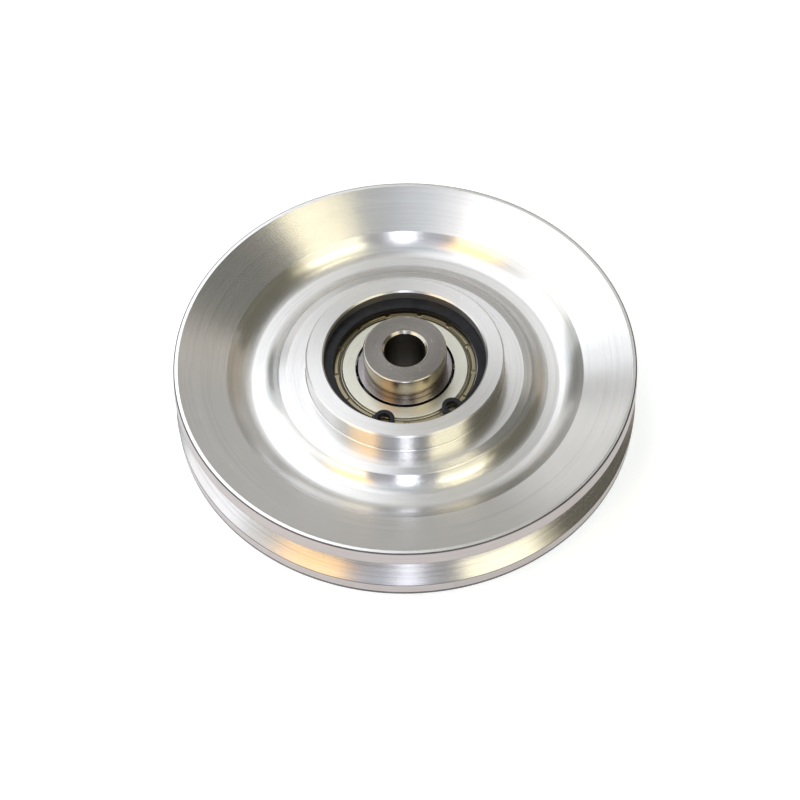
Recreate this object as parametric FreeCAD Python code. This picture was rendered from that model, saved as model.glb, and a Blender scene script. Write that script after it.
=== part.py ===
import FreeCAD, Part
import math
import os

# Turned aluminium groove pulley that runs on one shielded deep-groove ball bearing.
# The bearing is held against a shoulder by a retaining ring, and two flanged
# bushings fill its bore and carry the pulley on an axle pin.
# All sizes are in millimetres. The origin is the centre of the bearing, on the
# axis of rotation, and +Z points out of the face that has the retaining ring.

# --- pulley wheel ---
RIM_R = 45.6                # outer radius, at the mouth of the groove
RIM_EDGE_R = 45.45          # radius of the rim's outer corner
RIM_HALF = 6.9              # half the width over the rim
RIM_BAND = 0.85             # flat ring turned on the rim's edge
GROOVE_HALF = 3.75          # half the mouth of the groove
GROOVE_DEPTH = 5.6
GROOVE_FLANK_DEG = 30.0     # slope of each flank from the plane of rotation
GROOVE_BOTTOM_R = 0.84
DISH_R = 35.1               # sharp edge between the cone face and the dish
DISH_HALF = 3.95
DISH_WALL_DEG = 45.0
DISH_FILLET = 5.4
WEB_HALF = 1.45             # half the thickness of the web
STEP_R = 25.0               # raised step around the hub
STEP_HALF = 3.75
STEP_FLAT_R = 23.4
STEP_DROP = 0.3
STEP_WALL_DEG = 60.0
STEP_FILLET = 3.75
HUB_R = 19.5
HUB_HALF = 8.4
EDGE_BREAK = 0.3
SMALL_FILLET = 0.25

# --- ball bearing, 12 x 32 x 10 ---
BEARING_R = 16.0
BEARING_BORE_R = 6.0
BEARING_HALF = 5.0
BEARING_CORNER = 0.6
PITCH_R = 11.0
BALL_R = 2.9765
BALL_COUNT = 7
RACE_CLEARANCE = 0.035
RACE_RADIUS = 3.13
OUTER_LAND_R = 13.1
INNER_LAND_R = 9.3
SHIELD_SEAT_R = 14.05
SHIELD_SEAT_DEPTH = 1.1
SHOULDER_R = 13.9           # bearing shoulder at the back of the hub

# --- ball cage ---
CAGE_IN_R = 9.95
CAGE_OUT_R = 12.05
CAGE_SHEET = 0.4
POCKET_CLEARANCE = 0.08
CAGE_JOINT_GAP = 0.01
RIVET_R = 0.45
RIVET_HEAD_R = 0.85
RIVET_HEAD = 0.25

# --- bearing shields ---
SHIELD_SHEET = 0.3
SHIELD_RECESS = 0.2         # below the bearing's face
SHIELD_BORE_R = 9.75
SHIELD_FLAT_R = 12.3
SHIELD_CHANNEL_R = 12.55
SHIELD_CURL_R = 12.9
SHIELD_RIM_R = 13.98
SHIELD_CHANNEL_DEPTH = 0.45
NOTCH_COUNT = 13
NOTCH_WIDTH = 0.8
NOTCH_START_DEG = -6.2

# --- retaining ring for a 32 mm bore ---
RING_GROOVE_R = 16.85
RING_GROOVE_WIDTH = 1.3
RING_R = 16.8
RING_THICK = 1.2
RING_WIDE = 3.2             # section opposite the gap
RING_NARROW = 2.1           # section beside the ears
EAR_R = 2.05
EAR_PITCH_R = 14.0
EAR_HOLE_R = 1.15
RING_GAP_DEG = 281.0
EAR_SPREAD_DEG = 29.0
RING_CUT_DEG = 25.0

# --- bushings ---
BUSHING_R = 8.2
BUSHING_END = 10.75
BUSHING_SPIGOT_R = 5.99
BUSHING_MEET_GAP = 0.05
AXLE_R = 4.0

AXIS = FreeCAD.Vector(0, 0, 1)
CENTRE = FreeCAD.Vector(0, 0, 0)


def corner_arc(before, corner, after, radius):
    """Tangent arc that rounds one corner, as (start, middle, end)."""
    to_before = (before - corner).normalize()
    to_after = (after - corner).normalize()
    half = to_before.getAngle(to_after) / 2
    reach = radius / math.tan(half)
    bisector = (to_before + to_after).normalize()
    centre = corner + bisector * (radius / math.sin(half))
    return (corner + to_before * reach,
            centre - bisector * radius,
            corner + to_after * reach)


def outline_wire(corners):
    """Closed wire through (radius, height, rounding) corners in the XZ plane."""
    points = [FreeCAD.Vector(r, 0, z) for r, z, rounding in corners]
    count = len(corners)
    starts = []
    ends = []
    arcs = []
    for i, (r, z, rounding) in enumerate(corners):
        if rounding == 0:
            starts.append(points[i])
            ends.append(points[i])
            arcs.append(None)
            continue
        arc = corner_arc(points[i - 1], points[i], points[(i + 1) % count], rounding)
        starts.append(arc[0])
        ends.append(arc[2])
        arcs.append(Part.Arc(*arc).toShape())
    edges = []
    for i in range(count):
        if arcs[i]:
            edges.append(arcs[i])
        following = (i + 1) % count
        if ends[i].distanceToPoint(starts[following]) > 1e-6:
            edges.append(Part.LineSegment(ends[i], starts[following]).toShape())
    return Part.Wire(edges)


def turned(corners):
    """Solid of revolution about the axis from an outline of corners."""
    return Part.Face(outline_wire(corners)).revolve(CENTRE, AXIS, 360)


def disc(radius, low, high, x=0.0, y=0.0):
    return Part.makeCylinder(radius, high - low, FreeCAD.Vector(x, y, low), AXIS)


def ball(radius, x, y):
    return Part.makeSphere(radius, FreeCAD.Vector(x, y, 0))


def on_circle(radius, degrees):
    """Point (x, y) on a circle about the axis."""
    angle = math.radians(degrees)
    return radius * math.cos(angle), radius * math.sin(angle)


def flipped(shape):
    """The same piece turned over, for the back of the pulley."""
    back = shape.copy()
    back.rotate(CENTRE, FreeCAD.Vector(1, 0, 0), 180)
    return back


def ball_angles():
    return [k * 360.0 / BALL_COUNT for k in range(BALL_COUNT)]


def face_corners():
    """Front face of the pulley from the hub's edge out to the groove's bottom."""
    dish_foot_r = DISH_R - (DISH_HALF - WEB_HALF) / math.tan(math.radians(DISH_WALL_DEG))
    step_rise = STEP_HALF - STEP_DROP - WEB_HALF
    step_foot_r = STEP_R + step_rise / math.tan(math.radians(STEP_WALL_DEG))
    groove_r = RIM_R - GROOVE_DEPTH
    bottom_half = GROOVE_HALF - GROOVE_DEPTH * math.tan(math.radians(GROOVE_FLANK_DEG))
    return [
        (HUB_R - EDGE_BREAK, HUB_HALF, 0),
        (HUB_R, HUB_HALF - EDGE_BREAK, 0),
        (HUB_R, STEP_HALF, SMALL_FILLET),
        (STEP_FLAT_R, STEP_HALF, 0),
        (STEP_R, STEP_HALF - STEP_DROP, SMALL_FILLET),
        (step_foot_r, WEB_HALF, STEP_FILLET),
        (dish_foot_r, WEB_HALF, DISH_FILLET),
        (DISH_R, DISH_HALF, SMALL_FILLET / 2),
        (RIM_EDGE_R - RIM_BAND, RIM_HALF, SMALL_FILLET / 2),
        (RIM_EDGE_R, RIM_HALF, SMALL_FILLET),
        (RIM_R, GROOVE_HALF, SMALL_FILLET),
        (groove_r, bottom_half, GROOVE_BOTTOM_R),
    ]


def pulley_wheel():
    front = face_corners()
    back = [(r, -z, rounding) for r, z, rounding in reversed(front)]
    bore = [
        (SHOULDER_R + EDGE_BREAK, -HUB_HALF, 0),
        (SHOULDER_R, -HUB_HALF + EDGE_BREAK, 0),
        (SHOULDER_R, -BEARING_HALF, 0),
        (BEARING_R, -BEARING_HALF, 0),
        (BEARING_R, BEARING_HALF, 0),
        (RING_GROOVE_R, BEARING_HALF, 0),
        (RING_GROOVE_R, BEARING_HALF + RING_GROOVE_WIDTH, 0),
        (BEARING_R, BEARING_HALF + RING_GROOVE_WIDTH, 0),
        (BEARING_R, HUB_HALF - EDGE_BREAK, 0),
        (BEARING_R + EDGE_BREAK, HUB_HALF, 0),
    ]
    return turned(bore + front + back)


def retaining_ring():
    low = BEARING_HALF + (RING_GROOVE_WIDTH - RING_THICK) / 2
    high = low + RING_THICK
    inner_r = RING_R - (RING_WIDE + RING_NARROW) / 2
    shift_x, shift_y = on_circle((RING_WIDE - RING_NARROW) / 2, RING_GAP_DEG)
    ring = disc(RING_R, low, high).cut(disc(inner_r, low, high, shift_x, shift_y))
    reach = 2 * RING_R
    left = FreeCAD.Vector(*on_circle(reach, RING_GAP_DEG - RING_CUT_DEG), low)
    right = FreeCAD.Vector(*on_circle(reach, RING_GAP_DEG + RING_CUT_DEG), low)
    middle = FreeCAD.Vector(0, 0, low)
    wedge = Part.Face(Part.makePolygon([middle, left, right, middle]))
    ring = ring.cut(wedge.extrude(AXIS * RING_THICK))
    for side in (-1, 1):
        x, y = on_circle(EAR_PITCH_R, RING_GAP_DEG + side * EAR_SPREAD_DEG)
        ear = disc(EAR_R, low, high, x, y).common(disc(RING_R, low, high))
        ring = ring.fuse(ear)
        ring = ring.cut(disc(EAR_HOLE_R, low, high, x, y))
    return ring.removeSplitter().Solids[0]


def race_shift():
    """How far a track's centre moves so that only its bottom is close to the balls."""
    return RACE_RADIUS - BALL_R - RACE_CLEARANCE


def bearing_outer_ring():
    seat_low = BEARING_HALF - SHIELD_SEAT_DEPTH
    corners = [
        (OUTER_LAND_R, -seat_low, 0),
        (SHIELD_SEAT_R, -seat_low, 0),
        (SHIELD_SEAT_R, -BEARING_HALF, 0),
        (BEARING_R, -BEARING_HALF, BEARING_CORNER),
        (BEARING_R, BEARING_HALF, BEARING_CORNER),
        (SHIELD_SEAT_R, BEARING_HALF, 0),
        (SHIELD_SEAT_R, seat_low, 0),
        (OUTER_LAND_R, seat_low, 0),
    ]
    track = Part.makeTorus(PITCH_R - race_shift(), RACE_RADIUS, CENTRE, AXIS)
    return turned(corners).cut(track)


def bearing_inner_ring():
    corners = [
        (BEARING_BORE_R, -BEARING_HALF, BEARING_CORNER / 2),
        (INNER_LAND_R, -BEARING_HALF, SMALL_FILLET / 2),
        (INNER_LAND_R, BEARING_HALF, SMALL_FILLET / 2),
        (BEARING_BORE_R, BEARING_HALF, BEARING_CORNER / 2),
    ]
    track = Part.makeTorus(PITCH_R + race_shift(), RACE_RADIUS, CENTRE, AXIS)
    return turned(corners).cut(track)


def bearing_ball(degrees):
    return ball(BALL_R, *on_circle(PITCH_R, degrees))


def cage_front():
    """Stamped half of the cage: a flat ring with a round pocket over each ball."""
    pocket_r = BALL_R + POCKET_CLEARANCE
    cup_r = pocket_r + CAGE_SHEET
    low = CAGE_JOINT_GAP
    half = disc(CAGE_OUT_R, low, low + CAGE_SHEET)
    for degrees in ball_angles():
        half = half.fuse(ball(cup_r, *on_circle(PITCH_R, degrees)))
    for degrees in ball_angles():
        half = half.cut(ball(pocket_r, *on_circle(PITCH_R, degrees)))
    ring = disc(CAGE_OUT_R, low, cup_r + low).cut(disc(CAGE_IN_R, low, cup_r + low))
    half = half.common(ring)
    for degrees in rivet_angles():
        half = half.cut(disc(RIVET_R, low, low + CAGE_SHEET, *on_circle(PITCH_R, degrees)))
    return half.removeSplitter().Solids[0]


def rivet_angles():
    return [degrees + 180.0 / BALL_COUNT for degrees in ball_angles()]


def cage_rivets():
    top = CAGE_JOINT_GAP + CAGE_SHEET
    rivets = []
    for degrees in rivet_angles():
        x, y = on_circle(PITCH_R, degrees)
        rivet = disc(RIVET_R, -top, top, x, y)
        rivet = rivet.fuse(disc(RIVET_HEAD_R, top, top + RIVET_HEAD, x, y))
        rivet = rivet.fuse(disc(RIVET_HEAD_R, -top - RIVET_HEAD, -top, x, y))
        rivets.append(rivet.removeSplitter().Solids[0])
    return Part.makeCompound(rivets)


def shield_front():
    """Pressed sheet shield with a stepped channel and a notched, curled rim."""
    top = BEARING_HALF - SHIELD_RECESS
    floor = top - SHIELD_CHANNEL_DEPTH
    sheet = SHIELD_SHEET
    corners = [
        (SHIELD_BORE_R, top - sheet, 0),
        (SHIELD_FLAT_R - sheet, top - sheet, 0),
        (SHIELD_CHANNEL_R - sheet, floor - sheet, 0),
        (SHIELD_CURL_R + sheet, floor - sheet, 0),
        (SHIELD_RIM_R, floor, 0),
        (SHIELD_RIM_R, top - sheet / 2, sheet / 2),
        (SHIELD_CURL_R + sheet, top, sheet / 2),
        (SHIELD_CURL_R, floor, 0),
        (SHIELD_CHANNEL_R, floor, 0),
        (SHIELD_FLAT_R, top, 0),
        (SHIELD_BORE_R, top, 0),
    ]
    shield = turned(corners)
    for k in range(NOTCH_COUNT):
        notch = Part.makeBox(SHIELD_RIM_R, NOTCH_WIDTH, sheet,
                             FreeCAD.Vector(SHIELD_CURL_R, -NOTCH_WIDTH / 2, floor + sheet / 2))
        notch.rotate(CENTRE, AXIS, NOTCH_START_DEG + k * 360.0 / NOTCH_COUNT)
        shield = shield.cut(notch)
    return shield.Solids[0]


def bushing_front():
    """Flanged bushing: its spigot fills half of the bearing's bore."""
    return turned([
        (AXLE_R, BUSHING_MEET_GAP, 0),
        (BUSHING_SPIGOT_R, BUSHING_MEET_GAP, 0),
        (BUSHING_SPIGOT_R, BEARING_HALF, 0),
        (BUSHING_R, BEARING_HALF, 0),
        (BUSHING_R, BUSHING_END, EDGE_BREAK),
        (AXLE_R + EDGE_BREAK, BUSHING_END, 0),
        (AXLE_R, BUSHING_END - EDGE_BREAK, 0),
    ])


def all_pieces():
    front_cage = cage_front()
    front_shield = shield_front()
    front_bushing = bushing_front()
    pieces = {
        "pulley_wheel": pulley_wheel(),
        "retaining_ring": retaining_ring(),
        "bearing_outer_ring": bearing_outer_ring(),
        "bearing_inner_ring": bearing_inner_ring(),
        "cage_front": front_cage,
        "cage_rear": flipped(front_cage),
        "cage_rivets": cage_rivets(),
        "shield_front": front_shield,
        "shield_rear": flipped(front_shield),
        "bushing_front": front_bushing,
        "bushing_rear": flipped(front_bushing),
    }
    for number, degrees in enumerate(ball_angles(), start=1):
        pieces["ball_%d" % number] = bearing_ball(degrees)
    return pieces


os.makedirs("parts", exist_ok=True)
for name, shape in all_pieces().items():
    if not shape.isValid():
        raise ValueError(name + " is not a valid solid")
    shape.exportStep("parts/" + name + ".step")
    print("%-20s %2d solid(s) %10.2f mm3" % (name, len(shape.Solids), shape.Volume))
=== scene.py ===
import math

import bpy
from mathutils import Matrix, Vector


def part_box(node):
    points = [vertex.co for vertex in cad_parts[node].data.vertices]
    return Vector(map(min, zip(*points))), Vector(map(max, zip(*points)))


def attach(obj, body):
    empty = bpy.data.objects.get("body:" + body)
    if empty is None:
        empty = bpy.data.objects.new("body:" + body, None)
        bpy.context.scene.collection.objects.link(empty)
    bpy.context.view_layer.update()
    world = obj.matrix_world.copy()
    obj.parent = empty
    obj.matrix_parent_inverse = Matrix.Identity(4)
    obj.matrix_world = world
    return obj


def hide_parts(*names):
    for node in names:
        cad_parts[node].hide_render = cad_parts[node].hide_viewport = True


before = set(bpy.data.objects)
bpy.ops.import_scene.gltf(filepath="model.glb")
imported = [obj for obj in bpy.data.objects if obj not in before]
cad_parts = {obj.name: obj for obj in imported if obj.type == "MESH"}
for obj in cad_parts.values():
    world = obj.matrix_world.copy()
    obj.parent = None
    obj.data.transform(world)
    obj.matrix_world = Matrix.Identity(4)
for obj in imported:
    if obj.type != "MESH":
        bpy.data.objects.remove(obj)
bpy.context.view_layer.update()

MM = 0.001

# ---------------------------------------------------------------- sizes, in millimetres
RIM_R = 45.595  # a hair under the CAD's 45.6, so the finer rounding stays in its box
RIM_EDGE_R = 45.45
RIM_HALF = 6.9
RIM_BAND = 0.85
RIM_PAINTED_SHADE_BAND = 0.8  # painted shade: the rear edge of the rim is painted dark for the shadow under it
GROOVE_HALF = 3.75
GROOVE_DEPTH = 5.6
GROOVE_FLANK_DEG = 30.0
GROOVE_BOTTOM_R = 0.84
DISH_R = 35.1
DISH_HALF = 3.95
DISH_FILLET = 5.4
WEB_HALF = 1.45
STEP_R = 25.0
STEP_HALF = 3.75
STEP_FLAT_R = 23.4
STEP_DROP = 0.3
STEP_WALL_DEG = 60.0
STEP_FILLET = 3.75
HUB_R = 19.5
HUB_HALF = 8.4
EDGE_BREAK = 0.3
SMALL_FILLET = 0.25

BEARING_R = 16.0
BEARING_BORE_R = 6.0
BEARING_HALF = 5.0
BEARING_CORNER = 0.6
PITCH_R = 11.0
RACE_RADIUS = 3.13
RACE_SHIFT = 0.1185
OUTER_LAND_R = 13.1
INNER_LAND_R = 9.3
SHIELD_SEAT_R = 14.05
SHIELD_SEAT_DEPTH = 1.1
SHOULDER_R = 13.9

SHIELD_SHEET = 0.3
SHIELD_RECESS = 0.2
SHIELD_BORE_R = 9.75
SHIELD_FLAT_R = 12.3
SHIELD_CHANNEL_R = 12.55
SHIELD_CURL_R = 12.9
SHIELD_RIM_R = 13.98
SHIELD_CHANNEL_DEPTH = 0.45
NOTCH_COUNT = 13
NOTCH_HALF_DEG = 1.6
NOTCH_START_DEG = -6.2

RING_GROOVE_R = 16.85
RING_GROOVE_WIDTH = 1.3
RING_R = 16.8
RING_THICK = 1.2
RING_WIDE = 3.2
RING_NARROW = 2.1
EAR_R = 2.05
EAR_PITCH_R = 14.0
EAR_HOLE_R = 1.15
RING_GAP_DEG = 281.0
EAR_SPREAD_DEG = 29.0
RING_CUT_DEG = 25.0
RING_EDGE = 0.12

BUSHING_R = 8.2
BUSHING_END = 10.7499  # a hair under the CAD's 10.75
BUSHING_SPIGOT_R = 5.99
BUSHING_MEET_GAP = 0.05
AXLE_R = 4.0
BORE_BREAK = 0.45

# mesh fineness
WHEEL_SEGMENTS = 384
RING_SEGMENTS = 240
ARC_STEP_DEG = 11.0
LONGEST_STRIP = 1.2
SUPPORT_GAP = 0.05
SHARP_DEG = 28.0
SHIELD_SEGMENTS = NOTCH_COUNT * 32
RING_OUTER_STEPS = 220
RING_INNER_STEPS = 200
EAR_STEPS = 48
EAR_HOLE_STEPS = 36

# ---------------------------------------------------------------- turned outlines


def rounded(before, corner, after, radius):
    """Points of the tangent arc that rounds one corner of an outline."""
    to_before = (Vector(before) - Vector(corner)).normalized()
    to_after = (Vector(after) - Vector(corner)).normalized()
    half = to_before.angle(to_after) / 2
    bisector = (to_before + to_after).normalized()
    centre = Vector(corner) + bisector * (radius / math.sin(half))
    start = Vector(corner) + to_before * (radius / math.tan(half)) - centre
    turn = math.pi - 2 * half
    if start.y * to_before.x - start.x * to_before.y < 0:
        turn = -turn
    steps = max(3, round(abs(math.degrees(turn)) / ARC_STEP_DEG))
    return [centre + start @ Matrix.Rotation(-turn * k / steps, 2) for k in range(steps + 1)]


def arc(centre_r, centre_z, radius, start_deg, end_deg, finish):
    """Outline points on an arc in the (r, z) plane."""
    steps = max(4, round(abs(end_deg - start_deg) / ARC_STEP_DEG))
    points = []
    for k in range(steps + 1):
        angle = math.radians(start_deg + (end_deg - start_deg) * k / steps)
        points.append((centre_r + radius * math.cos(angle),
                       centre_z + radius * math.sin(angle), 0, finish))
    return points


def strip_cuts(length):
    """Places along a straight run: close to both ends, and evenly between."""
    if length < 4 * SUPPORT_GAP:
        return []
    inner = length - 2 * SUPPORT_GAP
    steps = max(1, math.ceil(inner / LONGEST_STRIP))
    return [SUPPORT_GAP + inner * k / steps for k in range(steps + 1)]


def split_finish(finish):
    """Finish of a corner's rounding and of the run after it; one name serves for both."""
    return finish if isinstance(finish, tuple) else (finish, finish)


def outline(corners):
    """(r, z, finish) points of a closed outline given as (r, z, rounding, finish) corners."""
    count = len(corners)
    spans = []
    for i, (r, z, rounding, finish) in enumerate(corners):
        if rounding:
            before = corners[i - 1][:2]
            after = corners[(i + 1) % count][:2]
            spans.append(rounded(before, (r, z), after, rounding))
        else:
            spans.append([Vector((r, z))])
    points = []
    for i, span in enumerate(spans):
        rounding_finish, finish = split_finish(corners[i][3])
        points += [(p.x, p.y, rounding_finish) for p in span[:-1]]
        points.append((span[-1].x, span[-1].y, finish))
        run = spans[(i + 1) % count][0] - span[-1]
        for along in strip_cuts(run.length):
            p = span[-1] + run.normalized() * along
            points.append((p.x, p.y, finish))
    return points


def runs_anticlockwise(points):
    """Whether a closed outline runs anticlockwise in the (r, z) plane."""
    pairs = zip(points, points[1:] + points[:1])
    return sum(a[0] * b[1] - b[0] * a[1] for a, b in pairs) > 0


def turned(name, corners, materials, segments=RING_SEGMENTS, shape=None):
    """Lathe-turned mesh. Each corner names the finish of the surface that follows it."""
    points = outline(corners)
    count = len(points)
    names = sorted(materials)
    vertices = []
    for k in range(segments):
        angle = 2 * math.pi * k / segments
        for r, z, finish in points:
            if shape:
                r, z = shape(r, z, math.degrees(angle))
            vertices.append((r * math.cos(angle) * MM, r * math.sin(angle) * MM, z * MM))
    faces = []
    slots = []
    for k in range(segments):
        here = k * count
        there = (k + 1) % segments * count
        for i in range(count):
            j = (i + 1) % count
            faces.append((here + i, here + j, there + j, there + i))
            slots.append(names.index(points[i][2]))
    mesh = bpy.data.meshes.new(name)
    mesh.from_pydata(vertices, [], faces)
    if runs_anticlockwise(points):
        mesh.flip_normals()
    for finish in names:
        mesh.materials.append(materials[finish])
    mesh.polygons.foreach_set("material_index", slots)
    mesh.polygons.foreach_set("use_smooth", [True] * len(faces))
    mesh.set_sharp_from_angle(angle=math.radians(SHARP_DEG))
    piece = bpy.data.objects.new(name, mesh)
    bpy.context.scene.collection.objects.link(piece)
    return piece


def place(piece, body, slot, *nodes):
    """Puts a piece on its body in place of the CAD nodes it stands for."""
    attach(piece, body)
    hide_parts(*nodes)
    return piece


# ---------------------------------------------------------------- materials


def rgba(red, green, blue):
    return (red, green, blue, 1.0)


class Shader:
    """A material's node tree, with short calls for the nodes used here."""

    def __init__(self, name):
        self.material = bpy.data.materials.new(name)
        self.material.use_nodes = True
        self.tree = self.material.node_tree
        self.tree.nodes.clear()
        self.output = self.tree.nodes.new("ShaderNodeOutputMaterial")
        self.bsdf = self.tree.nodes.new("ShaderNodeBsdfPrincipled")
        self.link(self.bsdf.outputs["BSDF"], self.output.inputs["Surface"])

    def link(self, source, target):
        self.tree.links.new(source, target)

    def node(self, kind, **settings):
        node = self.tree.nodes.new("ShaderNode" + kind)
        for key, value in settings.items():
            setattr(node, key, value)
        return node

    def put(self, socket, value):
        """Links a socket or sets a plain value."""
        if isinstance(value, bpy.types.NodeSocket):
            self.link(value, socket)
        else:
            socket.default_value = value

    def math(self, operation, a, b=0.0):
        node = self.node("Math", operation=operation)
        self.put(node.inputs[0], a)
        self.put(node.inputs[1], b)
        return node.outputs[0]

    def vector(self, x, y, z):
        node = self.node("CombineXYZ")
        for socket, value in zip(node.inputs, (x, y, z)):
            self.put(socket, value)
        return node.outputs[0]

    def place(self):
        """(distance from the axis, height, angle, position), in millimetres and radians."""
        position = self.node("TexCoord").outputs["Object"]
        scaled = self.node("VectorMath", operation="SCALE")
        self.link(position, scaled.inputs[0])
        scaled.inputs["Scale"].default_value = 1 / MM
        parts = self.node("SeparateXYZ")
        self.link(scaled.outputs[0], parts.inputs[0])
        x, y, z = parts.outputs
        radius = self.math("SQRT", self.math("ADD", self.math("MULTIPLY", x, x),
                                             self.math("MULTIPLY", y, y)))
        angle = self.math("ARCTAN2", y, x)
        return radius, z, angle, scaled.outputs[0]

    def noise(self, vector, scale, detail=3.0, roughness=0.55):
        node = self.node("TexNoise")
        self.link(vector, node.inputs["Vector"])
        node.inputs["Scale"].default_value = scale
        node.inputs["Detail"].default_value = detail
        node.inputs["Roughness"].default_value = roughness
        return node.outputs["Fac"]

    def spread(self, value, low, high, to_low, to_high, smooth=False):
        """Maps a range of values to another, clamped."""
        node = self.node("MapRange", interpolation_type="SMOOTHSTEP" if smooth else "LINEAR")
        self.link(value, node.inputs["Value"])
        for key, number in (("From Min", low), ("From Max", high),
                            ("To Min", to_low), ("To Max", to_high)):
            node.inputs[key].default_value = number
        return node.outputs["Result"]

    def blend(self, factor, a, b):
        """Mixes two colours."""
        node = self.node("Mix", data_type="RGBA")
        self.put(node.inputs["Factor"], factor)
        self.put(node.inputs[6], a)
        self.put(node.inputs[7], b)
        return node.outputs[2]

    def bump(self, height, strength, depth_mm, normal=None):
        node = self.node("Bump")
        node.inputs["Strength"].default_value = strength
        node.inputs["Distance"].default_value = depth_mm * MM
        self.link(height, node.inputs["Height"])
        if normal is not None:
            self.link(normal, node.inputs["Normal"])
        return node.outputs["Normal"]


HANDLING_SHADE = 0.86  # how dark the darker passes are beside the dark tone
SCRATCH_COLOUR = (0.95, 0.94, 0.92)
TANGENT_TURN = 0.25  # lays the stretched reflection across the turning marks


def scratches(s, position):
    """Thin stray lines and nicks, in patches: 1 on a line and 0 elsewhere."""
    warped = s.noise(position, 0.5, 0.0)
    line = s.math("ABSOLUTE", s.math("SUBTRACT", warped, 0.5))
    line = s.spread(line, 0.0, 0.008, 1.0, 0.0)
    patch = s.spread(s.noise(position, 0.6, 1.0), 0.55, 0.6, 0.0, 1.0)
    nicks = s.spread(s.noise(position, 3.0, 0.0), 0.8, 0.84, 0.0, 1.0)
    return s.math("MAXIMUM", s.math("MULTIPLY", line, patch), nicks)


def turned_metal(name, light, dark, roughness, spread=0.03, anisotropy=0.88,
                 ring_pitch=0.25, ring_depth=0.0008, grain=0.35, streaks=0.4, scratched=0.0):
    """Metal from the lathe: rings about the axis, fine grain, and blotches of handling."""
    s = Shader(name)
    radius, height, angle, position = s.place()
    rings = s.noise(s.vector(radius, height, 0.0), 1 / ring_pitch, 4.0, 0.7)
    broad = s.noise(s.vector(radius, height, 0.0), 0.35, 2.0)
    blotch = s.noise(position, 0.16, 4.0, 0.6)
    speck = s.noise(position, 5.5, 2.0, 0.7)
    tone = s.math("ADD", s.math("MULTIPLY", rings, 0.35), s.math("MULTIPLY", broad, 0.3))
    tone = s.math("ADD", tone, s.math("MULTIPLY", blotch, 0.35))
    tone = s.spread(tone, 0.36, 0.64, 0.0, 1.0)
    colour = s.blend(tone, rgba(*dark), rgba(*light))
    passes = s.noise(s.vector(s.math("MULTIPLY", radius, 2.6), s.math("MULTIPLY", height, 2.6),
                              s.math("MULTIPLY", angle, 0.8)), 1.0, 3.0, 0.65)
    shade = rgba(*[channel * HANDLING_SHADE for channel in dark])
    colour = s.blend(s.spread(passes, 0.5, 0.68, 0.0, streaks), colour, shade)
    if scratched:
        marks = scratches(s, position)
        colour = s.blend(s.math("MULTIPLY", marks, scratched), colour, rgba(*SCRATCH_COLOUR))
    s.link(colour, s.bsdf.inputs["Base Color"])
    s.bsdf.inputs["Metallic"].default_value = 1.0
    mixed = s.math("ADD", s.math("MULTIPLY", rings, 0.5), s.math("MULTIPLY", speck, 0.5))
    rough = s.spread(mixed, 0.3, 0.7, roughness - spread, roughness + spread)
    s.link(rough, s.bsdf.inputs["Roughness"])
    s.bsdf.inputs["Anisotropic"].default_value = anisotropy
    s.bsdf.inputs["Anisotropic Rotation"].default_value = TANGENT_TURN
    tangent = s.node("Tangent", direction_type="RADIAL", axis="Z")
    s.link(tangent.outputs[0], s.bsdf.inputs["Tangent"])
    normal = s.bump(rings, 1.0, ring_depth)
    normal = s.bump(speck, grain, ring_depth, normal)
    s.link(normal, s.bsdf.inputs["Normal"])
    return s.material


def wheel_finishes():
    bright = (0.745, 0.74, 0.73)
    soft = (0.685, 0.68, 0.67)
    return {
        "face": turned_metal("aluminium_cone_face", bright, soft, 0.24),
        "band": turned_metal("aluminium_edge_band", bright, soft, 0.22, anisotropy=0.6),
        # painted shade: the rim land is a darker, pinkish copy of the aluminium, standing in for
        # the shaded floor it reflects
        "land": turned_metal("aluminium_rim_land_painted_shade", (0.5, 0.465, 0.47), (0.43, 0.4, 0.405), 0.32),
        # painted shade: the groove is a darker copy of the aluminium, so the reflections inside
        # it come out dark like shade in the groove
        "groove": turned_metal("aluminium_groove_painted_shade", (0.62, 0.61, 0.61), (0.54, 0.53, 0.53), 0.26,
                               ring_pitch=0.4, streaks=0.7),
        "dish": turned_metal("aluminium_dish", bright, soft, 0.24),
        "step": turned_metal("aluminium_step", (0.7, 0.695, 0.69), (0.64, 0.635, 0.625), 0.24),
        "hub": turned_metal("aluminium_hub_end", (0.685, 0.68, 0.675), (0.635, 0.63, 0.62), 0.3,
                            anisotropy=0.8, streaks=0.3, scratched=0.35),
        "wall": turned_metal("aluminium_hub_wall", bright, soft, 0.22),
        # painted shade: a near-black copy of the aluminium for the rim's creases and rear edge,
        # standing in for the dark line of shade and dark reflection there
        "edge": turned_metal("aluminium_painted_dark_crease", (0.16, 0.15, 0.16), (0.07, 0.065, 0.07), 0.4,
                             anisotropy=0.2),
        "bore": turned_metal("aluminium_bore", (0.62, 0.61, 0.6), (0.55, 0.54, 0.53), 0.3),
    }


def plain_steel(name, light, dark, roughness, anisotropy=0.5, ring_pitch=0.2, ring_depth=0.003,
                scratched=0.0):
    return turned_metal(name, light, dark, roughness, 0.05, anisotropy, ring_pitch, ring_depth,
                        scratched=scratched)


def phosphate():
    """Black phosphate on spring steel, a little lighter in random patches."""
    s = Shader("phosphate_black")
    radius, height, angle, position = s.place()
    grain = s.noise(position, 7.0, 4.0, 0.7)
    patch = s.noise(position, 0.7, 3.0)
    colour = s.blend(s.spread(patch, 0.3, 0.7, 0.0, 1.0), rgba(0.004, 0.005, 0.008),
                     rgba(0.012, 0.013, 0.018))
    s.link(colour, s.bsdf.inputs["Base Color"])
    s.bsdf.inputs["Specular IOR Level"].default_value = 0.25
    s.link(s.spread(grain, 0.3, 0.7, 0.26, 0.42), s.bsdf.inputs["Roughness"])
    s.link(s.bump(grain, 0.4, 0.01), s.bsdf.inputs["Normal"])
    return s.material


# ---------------------------------------------------------------- pieces


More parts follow.
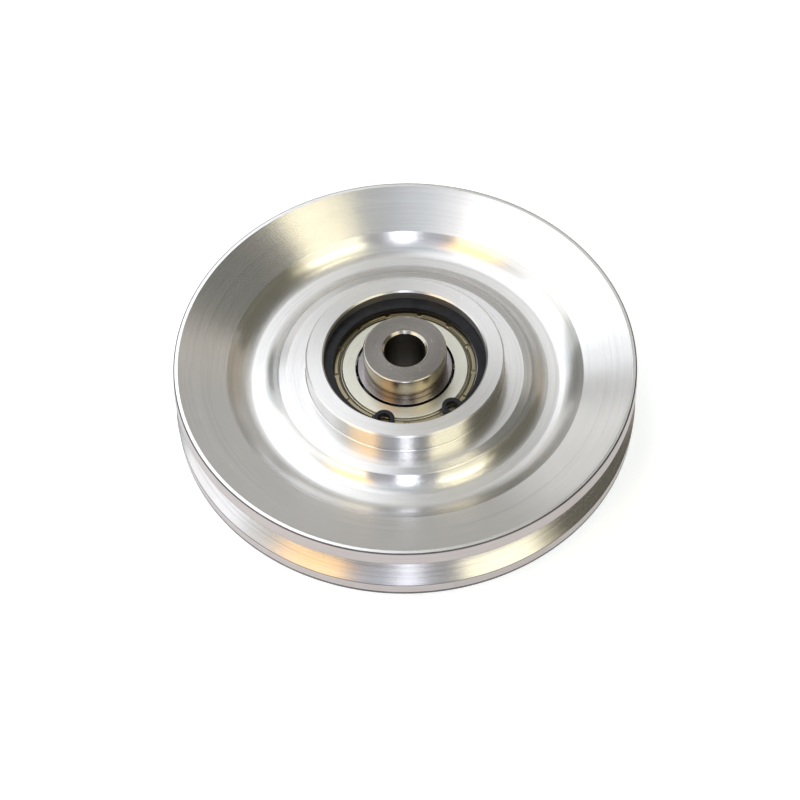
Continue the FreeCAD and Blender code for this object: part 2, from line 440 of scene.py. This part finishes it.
def wheel_front():
    """Front half of the wheel's outline, from the hub's edge to the groove's bottom."""
    dish_foot = DISH_R - (DISH_HALF - WEB_HALF)
    step_rise = STEP_HALF - STEP_DROP - WEB_HALF
    step_foot = STEP_R + step_rise / math.tan(math.radians(STEP_WALL_DEG))
    groove_r = RIM_R - GROOVE_DEPTH
    bottom = GROOVE_HALF - GROOVE_DEPTH * math.tan(math.radians(GROOVE_FLANK_DEG))
    return [
        (HUB_R - EDGE_BREAK, HUB_HALF, 0, "hub"),
        (HUB_R, HUB_HALF - EDGE_BREAK, 0, "wall"),
        (HUB_R, STEP_HALF, SMALL_FILLET, "step"),
        (STEP_FLAT_R, STEP_HALF, 0, "step"),
        (STEP_R, STEP_HALF - STEP_DROP, SMALL_FILLET, "dish"),
        (step_foot, WEB_HALF, STEP_FILLET, "dish"),
        (dish_foot, WEB_HALF, DISH_FILLET, "dish"),
        (DISH_R, DISH_HALF, SMALL_FILLET / 2, "face"),
        (RIM_EDGE_R - RIM_BAND, RIM_HALF, SMALL_FILLET / 2, "band"),
        # painted shade: the rounding at each rim crease takes the near-black edge finish, a
        # painted dark line
        (RIM_EDGE_R, RIM_HALF, SMALL_FILLET, ("edge", "land")),
        (RIM_R, GROOVE_HALF, SMALL_FILLET / 2, ("edge", "groove")),
        (groove_r, bottom, GROOVE_BOTTOM_R, "groove"),
    ]


def wheel_back():
    """Back half: the finish of each run belongs to the corner it starts from there."""
    front = wheel_front()
    back = []
    for i in range(len(front) - 1, -1, -1):
        r, z, rounding, finish = front[i]
        before = split_finish(front[i - 1][3])[1] if i else "hub"
        back.append((r, -z, rounding, (split_finish(finish)[0], before) if rounding else before))
        # painted shade: a dark band along the rear rim edge, in the near-black edge finish
        if r == RIM_R:
            back.append((RIM_EDGE_R, RIM_PAINTED_SHADE_BAND - RIM_HALF, 0, "edge"))
    return back


def wheel_bore():
    return [
        (SHOULDER_R + EDGE_BREAK, -HUB_HALF, 0, "hub"),
        (SHOULDER_R, -HUB_HALF + EDGE_BREAK, 0, "bore"),
        (SHOULDER_R, -BEARING_HALF, 0, "bore"),
        (BEARING_R, -BEARING_HALF, 0, "bore"),
        (BEARING_R, BEARING_HALF, 0, "bore"),
        (RING_GROOVE_R, BEARING_HALF, 0, "bore"),
        (RING_GROOVE_R, BEARING_HALF + RING_GROOVE_WIDTH, 0, "bore"),
        (BEARING_R, BEARING_HALF + RING_GROOVE_WIDTH, 0, "bore"),
        (BEARING_R, HUB_HALF - EDGE_BREAK, 0, "hub"),
        (BEARING_R + EDGE_BREAK, HUB_HALF, 0, "hub"),
    ]


def make_wheel():
    corners = wheel_bore() + wheel_front() + wheel_back()
    piece = turned("wheel_turned", corners, wheel_finishes(), WHEEL_SEGMENTS)
    return place(piece, "wheel", "turned_aluminium", "pulley_wheel")


def make_outer_ring(steel):
    seat = BEARING_HALF - SHIELD_SEAT_DEPTH
    centre = PITCH_R - RACE_SHIFT
    reach = math.degrees(math.acos((OUTER_LAND_R - centre) / RACE_RADIUS))
    corners = [
        (OUTER_LAND_R, -seat, 0, "ground"),
        (SHIELD_SEAT_R, -seat, 0, "ground"),
        (SHIELD_SEAT_R, -BEARING_HALF, SMALL_FILLET / 2, "ground"),
        (BEARING_R, -BEARING_HALF, BEARING_CORNER, "ground"),
        (BEARING_R, BEARING_HALF, BEARING_CORNER, "ground"),
        (SHIELD_SEAT_R, BEARING_HALF, SMALL_FILLET / 2, "ground"),
        (SHIELD_SEAT_R, seat, 0, "ground"),
        (OUTER_LAND_R, seat, 0, "ground"),
    ] + arc(centre, 0, RACE_RADIUS, reach, -reach, "ground")
    piece = turned("race_outer", corners, {"ground": steel})
    return place(piece, "wheel", "bearing_steel", "bearing_outer_ring")


def make_inner_ring(steel):
    centre = PITCH_R + RACE_SHIFT
    reach = math.degrees(math.acos((centre - INNER_LAND_R) / RACE_RADIUS))
    corners = [
        (BEARING_BORE_R, BEARING_HALF, BEARING_CORNER / 2, "ground"),
        (BEARING_BORE_R, -BEARING_HALF, BEARING_CORNER / 2, "ground"),
        (INNER_LAND_R, -BEARING_HALF, SMALL_FILLET / 2, "ground"),
    ] + arc(centre, 0, RACE_RADIUS, 180 + reach, 180 - reach, "ground") + [
        (INNER_LAND_R, BEARING_HALF, SMALL_FILLET / 2, "ground"),
    ]
    piece = turned("race_inner", corners, {"ground": steel})
    return place(piece, "axle", "bearing_steel", "bearing_inner_ring")


def shield_corners():
    top = BEARING_HALF - SHIELD_RECESS
    floor = top - SHIELD_CHANNEL_DEPTH
    sheet = SHIELD_SHEET
    curve = sheet / 2
    return [
        (SHIELD_BORE_R, top, curve / 2, "flat"),
        (SHIELD_BORE_R, top - sheet, curve / 2, "flat"),
        (SHIELD_FLAT_R - sheet, top - sheet, curve, "flat"),
        (SHIELD_CHANNEL_R - sheet, floor - sheet, curve, "flat"),
        (SHIELD_CURL_R + sheet, floor - sheet, curve, "flat"),
        (SHIELD_RIM_R, floor, curve / 2, "flat"),
        (SHIELD_RIM_R, top, curve, "curl"),
        (SHIELD_CURL_R + sheet, top, curve, "curl"),
        (SHIELD_CURL_R, floor, curve / 2, "channel"),
        (SHIELD_CHANNEL_R, floor, curve, "flat"),
        (SHIELD_FLAT_R, top, curve, "flat"),
    ]


def notched(r, z, degrees):
    """Lowers the shield's curled rim where a notch is."""
    floor = BEARING_HALF - SHIELD_RECESS - SHIELD_CHANNEL_DEPTH + SHIELD_SHEET / 2
    pitch = 360.0 / NOTCH_COUNT
    offset = (degrees - NOTCH_START_DEG + pitch / 2) % pitch - pitch / 2
    if r > SHIELD_CURL_R + SHIELD_SHEET / 2 and abs(offset) < NOTCH_HALF_DEG:
        return r, min(z, floor)
    return r, z


def make_shield(name, node, side, finishes):
    piece = turned(name, shield_corners(), finishes, SHIELD_SEGMENTS, notched)
    if side < 0:
        piece.data.transform(Matrix.Rotation(math.pi, 4, "X"))
    return place(piece, "wheel", "shield_steel", node)


def bushing_corners():
    return [
        (AXLE_R, BUSHING_MEET_GAP, 0, "bore"),
        (AXLE_R, BUSHING_END - BORE_BREAK, BORE_BREAK / 3, "edge"),
        (AXLE_R + BORE_BREAK, BUSHING_END, BORE_BREAK / 3, ("edge", "end")),
        (BUSHING_R, BUSHING_END, EDGE_BREAK, ("edge", "side")),
        (BUSHING_R, BEARING_HALF, SMALL_FILLET / 2, "side"),
        (BUSHING_SPIGOT_R, BEARING_HALF, 0, "side"),
        (BUSHING_SPIGOT_R, BUSHING_MEET_GAP, 0, "side"),
    ]


def make_bushing(name, node, side, finishes):
    piece = turned(name, bushing_corners(), finishes)
    if side < 0:
        piece.data.transform(Matrix.Rotation(math.pi, 4, "X"))
    return place(piece, "axle", "bushing_steel", node)


def on_circle(radius, degrees, centre=(0.0, 0.0)):
    angle = math.radians(degrees)
    return Vector((centre[0] + radius * math.cos(angle), centre[1] + radius * math.sin(angle)))


def crossing(centre_a, radius_a, centre_b, radius_b, side):
    """One of the two points where two circles cross."""
    between = centre_b - centre_a
    gap = between.length
    along = (gap * gap + radius_a * radius_a - radius_b * radius_b) / (2 * gap)
    off = math.sqrt(radius_a * radius_a - along * along)
    across = Vector((-between.y, between.x)).normalized()
    return centre_a + between.normalized() * along + across * off * side


def sweep(centre, start, end, clockwise, steps):
    """Points on an arc about centre from start up to, and without, end."""
    first = math.atan2(start.y - centre.y, start.x - centre.x)
    last = math.atan2(end.y - centre.y, end.x - centre.x)
    turn = (last - first) % (2 * math.pi)
    if clockwise:
        turn -= 2 * math.pi
    radius = (start - centre).length
    return [centre + on_circle(radius, math.degrees(first + turn * k / steps))
            for k in range(steps)]


def ring_outline():
    """Outline of the retaining ring: outside, one ear, eccentric inside, other ear."""
    middle = Vector((0.0, 0.0))
    inner_centre = on_circle((RING_WIDE - RING_NARROW) / 2, RING_GAP_DEG)
    inner_r = RING_R - (RING_WIDE + RING_NARROW) / 2
    ear_a = on_circle(EAR_PITCH_R, RING_GAP_DEG + EAR_SPREAD_DEG)
    ear_b = on_circle(EAR_PITCH_R, RING_GAP_DEG - EAR_SPREAD_DEG)
    slant = math.radians(EAR_SPREAD_DEG - RING_CUT_DEG)
    root_r = EAR_PITCH_R * math.cos(slant) + math.sqrt(
        EAR_R ** 2 - (EAR_PITCH_R * math.sin(slant)) ** 2)
    root_a = on_circle(root_r, RING_GAP_DEG + RING_CUT_DEG)
    root_b = on_circle(root_r, RING_GAP_DEG - RING_CUT_DEG)
    inner_a = crossing(inner_centre, inner_r, ear_a, EAR_R, 1)
    inner_b = crossing(inner_centre, inner_r, ear_b, EAR_R, -1)
    end_a = on_circle(RING_R, RING_GAP_DEG + RING_CUT_DEG)
    end_b = on_circle(RING_R, RING_GAP_DEG - RING_CUT_DEG)
    points = sweep(middle, end_a, end_b, False, RING_OUTER_STEPS)
    points.append(end_b)
    points += sweep(ear_b, root_b, inner_b, False, EAR_STEPS)
    points += sweep(inner_centre, inner_b, inner_a, True, RING_INNER_STEPS)
    points += sweep(ear_a, inner_a, root_a, False, EAR_STEPS)
    points.append(root_a)
    return points, (ear_a, ear_b)


def make_retaining_ring(material):
    points, ears = ring_outline()
    curve = bpy.data.curves.new("ring_outline", "CURVE")
    curve.dimensions = "2D"
    curve.fill_mode = "BOTH"
    loops = [points]
    for ear in ears:
        loops.append([ear + on_circle(EAR_HOLE_R, 360.0 / EAR_HOLE_STEPS * k)
                      for k in range(EAR_HOLE_STEPS)])
    for loop in loops:
        spline = curve.splines.new("POLY")
        spline.points.add(len(loop) - 1)
        for point, place_on in zip(spline.points, loop):
            point.co = (place_on.x * MM, place_on.y * MM, 0.0, 1.0)
        spline.use_cyclic_u = True
    curve.extrude = (RING_THICK / 2 - RING_EDGE) * MM
    curve.bevel_depth = RING_EDGE * MM
    curve.bevel_resolution = 2
    curve.offset = -RING_EDGE * MM
    carrier = bpy.data.objects.new("ring_outline", curve)
    bpy.context.scene.collection.objects.link(carrier)
    bpy.context.view_layer.update()
    mesh = bpy.data.meshes.new_from_object(carrier.evaluated_get(
        bpy.context.evaluated_depsgraph_get()))
    bpy.data.objects.remove(carrier)
    mesh.name = "ring_clip"
    centre = BEARING_HALF + RING_GROOVE_WIDTH / 2
    mesh.transform(Matrix.Translation((0, 0, centre * MM)))
    mesh.materials.clear()
    mesh.materials.append(material)
    mesh.polygons.foreach_set("use_smooth", [True] * len(mesh.polygons))
    mesh.set_sharp_from_angle(angle=math.radians(SHARP_DEG))
    piece = bpy.data.objects.new("ring_clip", mesh)
    bpy.context.scene.collection.objects.link(piece)
    return place(piece, "wheel", "phosphate_black", "retaining_ring")


def paint_cad(node, material):
    """Gives a CAD node that is shown as it is a better material."""
    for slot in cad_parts[node].material_slots:
        slot.link = "OBJECT"
        slot.material = material


def make_pieces():
    race = plain_steel("bearing_race_steel", (0.32, 0.3, 0.305), (0.25, 0.235, 0.24), 0.26)
    make_wheel()
    make_outer_ring(race)
    make_inner_ring(race)
    shield = {
        "flat": plain_steel("shield_flat", (0.66, 0.655, 0.58), (0.58, 0.575, 0.5), 0.36, 0.3),
        # painted shade: the channel and the curl are darker copies of the shield's steel,
        # standing in for shade in the recess and on the curl
        "channel": plain_steel("shield_channel_painted_shade", (0.1, 0.09, 0.062), (0.06, 0.055, 0.037),
                               0.34, 0.3),
        "curl": plain_steel("shield_curl_painted_shade", (0.36, 0.32, 0.22), (0.25, 0.22, 0.14), 0.3, 0.3),
    }
    make_shield("shield_top", "shield_front", 1, shield)
    make_shield("shield_bottom", "shield_rear", -1, shield)
    bushing = {
        "end": plain_steel("bushing_end", (0.28, 0.265, 0.25), (0.2, 0.188, 0.177), 0.42, 0.4,
                           scratched=0.3),
        "side": plain_steel("bushing_side", (0.55, 0.49, 0.4), (0.36, 0.31, 0.24), 0.2, 0.3),
        "edge": plain_steel("bushing_edge", (0.55, 0.52, 0.47), (0.38, 0.35, 0.31), 0.18, 0.0),
        "bore": plain_steel("bushing_bore", (0.2, 0.18, 0.16), (0.14, 0.125, 0.11), 0.3, 0.5),
    }
    make_bushing("bushing_top", "bushing_front", 1, bushing)
    make_bushing("bushing_bottom", "bushing_rear", -1, bushing)
    make_retaining_ring(phosphate())
    polished = plain_steel("ball_polish", (0.8, 0.8, 0.81), (0.74, 0.74, 0.75), 0.08, 0.0)
    pressed = plain_steel("cage_pressed", (0.62, 0.6, 0.57), (0.5, 0.48, 0.45), 0.3, 0.0)
    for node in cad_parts:
        if node.startswith("ball_"):
            paint_cad(node, polished)
        if node.startswith("cage_"):
            paint_cad(node, pressed)


# ---------------------------------------------------------------- stage and camera

FLOOR_HALF = 3.0  # metres
FLOOR_GLOW = 0.36

CAMERA_LENS = 139.5
CAMERA_SENSOR = 36.0
CAMERA_FAR = 20.0
CAMERA_AT = (-1.148, -364.64, 493.31)  # millimetres
CAMERA_DOWN_DEG = 53.87  # how far it looks down
CAMERA_ROLL_DEG = -1.2717

WORLD_COLOUR = (1.0, 0.97, 0.92)
WORLD_STRENGTH = 0.5


def make_floor():
    s = Shader("paper_floor")
    position = s.node("TexCoord").outputs["Object"]
    tone = s.noise(position, 3.0, 2.0)
    colour = s.blend(s.spread(tone, 0.3, 0.7, 0.0, 1.0),
                     rgba(0.9, 0.93, 0.97), rgba(0.91, 0.94, 0.98))
    s.link(colour, s.bsdf.inputs["Base Color"])
    s.bsdf.inputs["Roughness"].default_value = 0.9
    s.bsdf.inputs["Emission Color"].default_value = rgba(0.95, 0.98, 1.0)
    s.bsdf.inputs["Emission Strength"].default_value = FLOOR_GLOW
    mesh = bpy.data.meshes.new("floor")
    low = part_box("bushing_rear")[0].z
    corners = [(-1, -1), (1, -1), (1, 1), (-1, 1)]
    mesh.from_pydata([(x * FLOOR_HALF, y * FLOOR_HALF, low) for x, y in corners],
                     [], [(0, 1, 2, 3)])
    mesh.materials.append(s.material)
    floor = bpy.data.objects.new("floor", mesh)
    bpy.context.scene.collection.objects.link(floor)
    return floor


def make_camera():
    data = bpy.data.cameras.new("camera")
    data.sensor_width = CAMERA_SENSOR
    data.lens = CAMERA_LENS
    data.clip_end = CAMERA_FAR
    camera = bpy.data.objects.new("camera", data)
    bpy.context.scene.collection.objects.link(camera)
    tilt = Matrix.Rotation(math.radians(90 - CAMERA_DOWN_DEG), 4, "X")
    roll = Matrix.Rotation(math.radians(CAMERA_ROLL_DEG), 4, "Z")
    camera.matrix_world = Matrix.Translation(Vector(CAMERA_AT) * MM) @ tilt @ roll
    bpy.context.scene.camera = camera
    return camera


# Studio panels round the part: (name, azimuths, elevations, light, lean). Azimuth 0 is +X and
# 90 is +Y. Lean is how far the low and the high side have moved in azimuth at the panel's top.
PANELS = [
    ("key_top", (118, 186), (51, 79), (1.7, 1.74, 1.82), (0, 0)),
    ("key_corner", (91.5, 118), (47, 62), (2.4, 2.45, 2.55), (0, 0)),
    ("key_back", (92, 118), (62, 79), (1.7, 1.74, 1.82), (2, 0)),
    ("key_rise", (134, 186), (46, 51), (1.7, 1.74, 1.82), (-16, 0)),
    ("key_upper", (148, 186), (37, 46), (1.7, 1.74, 1.8), (-14, 0)),
    ("key_middle", (160, 212), (25, 37), (1.7, 1.7, 1.7), (-12, 0)),
    ("key_low", (172, 212), (3, 25), (1.6, 1.6, 1.56), (-12, 0)),
    ("key_gap", (186, 204), (38, 66), (0.9, 0.88, 0.82), (0, 0)),
    ("key_edge", (186, 236), (66, 79), (1.5, 1.55, 1.63), (0, 0)),
    ("soft_rise", (118, 134), (46, 51), (1.1, 1.14, 1.18), (0, -16)),
    ("soft_upper", (128, 148), (37, 46), (1.0, 1.05, 1.1), (-10, -14)),
    ("soft_middle", (146, 160), (25, 37), (0.8, 0.83, 0.85), (-8, -12)),
    ("soft_low", (156, 172), (5, 25), (0.8, 0.83, 0.8), (-10, -12)),
    ("lamp_left_high", (204, 237), (40, 66), (2.6, 1.6, 0.65), (0, 0)),
    ("lamp_left_low", (212, 241), (8, 38), (2.3, 2.15, 1.75), (0, -2)),
    ("right_low", (292, 330), (10, 32), (1.15, 1.08, 0.85), (0, 0)),
    ("right_box", (292, 330), (32, 48), (1.7, 1.6, 1.25), (3, 6)),
    ("right_high", (295, 336), (48, 62), (3.4, 3.2, 2.35), (3, 6)),
    ("right_side", (330, 338), (32, 62), (1.0, 0.92, 0.6), (12, 10)),
    ("right_top", (306, 348), (62, 76), (1.5, 1.4, 1.05), (4, 4)),
    ("dark_top", (278, 306), (62, 79), (0.6, 0.6, 0.62), (0, 4)),
    ("strip_low", (263, 277), (9, 25), (4.2, 4.4, 5.0), (0, 0)),
    ("strip_high", (268, 271), (39, 44), (5.4, 5.6, 6.2), (-11, 11)),
    ("strip_higher", (257, 282), (44, 50), (5.4, 5.6, 6.2), (11, -11)),
    ("strip_top", (265, 274), (50, 58), (4.2, 4.3, 4.8), (0, 0)),
    ("front_fill_low", (277, 292), (8, 34), (0.36, 0.36, 0.39), (0, 3)),
    ("front_fill", (277, 295), (34, 50), (0.48, 0.48, 0.51), (0, 2)),
    ("front_fill_high", (277, 297), (50, 62), (0.36, 0.36, 0.39), (0, 1)),
    ("front_left", (242, 262), (8, 37), (0.42, 0.42, 0.48), (0, 0)),
    ("front_left_high", (240, 262), (37, 61), (0.62, 0.64, 0.72), (0, 0)),
    ("front_between", (262, 277), (26, 37), (0.36, 0.36, 0.42), (0, 0)),
    ("front_high", (238, 278), (61, 79), (0.8, 0.84, 0.92), (0, 0)),
    ("dark_right", (330, 378), (0, 32), (0.17, 0.16, 0.12), (0, 0)),
    ("dark_right_top", (338, 378), (32, 62), (0.17, 0.16, 0.12), (12, 0)),
    ("dark_low", (376, 384), (20, 52), (0.17, 0.16, 0.12), (0, 22)),
    ("dark_back", (378, 428), (53, 69), (0.14, 0.135, 0.115), (0, -10)),
    ("dark_side", (350, 387), (62, 81), (0.3, 0.29, 0.27), (0, 0)),
    ("beige_wall", (18, 50), (0, 52.5), (0.5, 0.44, 0.35), (18, 0)),
    ("back_wall", (50, 100), (20, 27), (0.7, 0.68, 0.64), (0, 0)),
    ("back_side", (100, 128), (20, 45), (0.9, 0.89, 0.87), (0, -16)),
    ("back_middle", (50, 100), (27, 45), (0.42, 0.41, 0.39), (0, 0)),
    ("back_wall_top", (50, 91), (45, 52.5), (0.68, 0.66, 0.62), (0, 0)),
    ("back_corner", (91, 118), (45, 47), (0.7, 0.7, 0.68), (0, 0)),
    ("back_low", (50, 68), (0, 20), (0.6, 0.56, 0.49), (0, 0)),
    ("back_dim", (68, 106), (0, 20), (0.4, 0.39, 0.38), (0, 0)),
    ("back_bright", (106, 130), (0, 20), (0.75, 0.75, 0.74), (0, 0)),
    ("left_dim", (130, 156), (0, 25), (0.2, 0.2, 0.18), (-4, -10)),
    ("left_middle", (126, 146), (25, 37), (0.2, 0.2, 0.19), (-4, -18)),
    ("back_high", (68, 90), (53, 79), (0.36, 0.36, 0.34), (-14, 0)),
    ("spot_high", (26, 42), (71, 81), (7.0, 6.3, 4.3), (0, 0)),
    ("zenith", (0, 360), (81, 90), (0.55, 0.6, 0.66), (0, 0)),
]
PANEL_DISTANCE = 1.9  # metres
PANEL_STEP_DEG = 5


def make_panel(name, azimuths, elevations, light, lean):
    """A curved light panel that covers a range of bearings and heights."""
    columns = max(2, math.ceil((azimuths[1] - azimuths[0]) / PANEL_STEP_DEG))
    rows = max(2, math.ceil((elevations[1] - elevations[0]) / PANEL_STEP_DEG))
    vertices = []
    for i in range(columns + 1):
        for j in range(rows + 1):
            across, rise = i / columns, j / rows
            low, high = azimuths[0] + lean[0] * rise, azimuths[1] + lean[1] * rise
            a = math.radians(low + (high - low) * across)
            e = math.radians(elevations[0] + (elevations[1] - elevations[0]) * rise)
            away = Vector((math.cos(a) * math.cos(e), math.sin(a) * math.cos(e), math.sin(e)))
            vertices.append(away * PANEL_DISTANCE)
    faces = []
    for i in range(columns):
        for j in range(rows):
            first = i * (rows + 1) + j
            faces.append((first, first + 1, first + rows + 2, first + rows + 1))
    mesh = bpy.data.meshes.new(name)
    mesh.from_pydata(vertices, [], faces)
    material = bpy.data.materials.new(name)
    material.use_nodes = True
    tree = material.node_tree
    tree.nodes.clear()
    emission = tree.nodes.new("ShaderNodeEmission")
    strength = max(light)
    emission.inputs["Strength"].default_value = strength
    emission.inputs["Color"].default_value = rgba(*[c / strength for c in light])
    output = tree.nodes.new("ShaderNodeOutputMaterial")
    tree.links.new(emission.outputs[0], output.inputs["Surface"])
    mesh.materials.append(material)
    panel = bpy.data.objects.new(name, mesh)
    bpy.context.scene.collection.objects.link(panel)
    panel.visible_camera = False
    panel.visible_shadow = False
    return panel


def make_world():
    world = bpy.data.worlds.new("studio")
    bpy.context.scene.world = world
    world.use_nodes = True
    background = world.node_tree.nodes["Background"]
    background.inputs["Color"].default_value = rgba(*WORLD_COLOUR)
    background.inputs["Strength"].default_value = WORLD_STRENGTH


def make_light():
    make_world()
    for panel in PANELS:
        make_panel(*panel)


make_camera()
make_pieces()
make_floor()
make_light()
bpy.context.scene.view_settings.view_transform = "Standard"
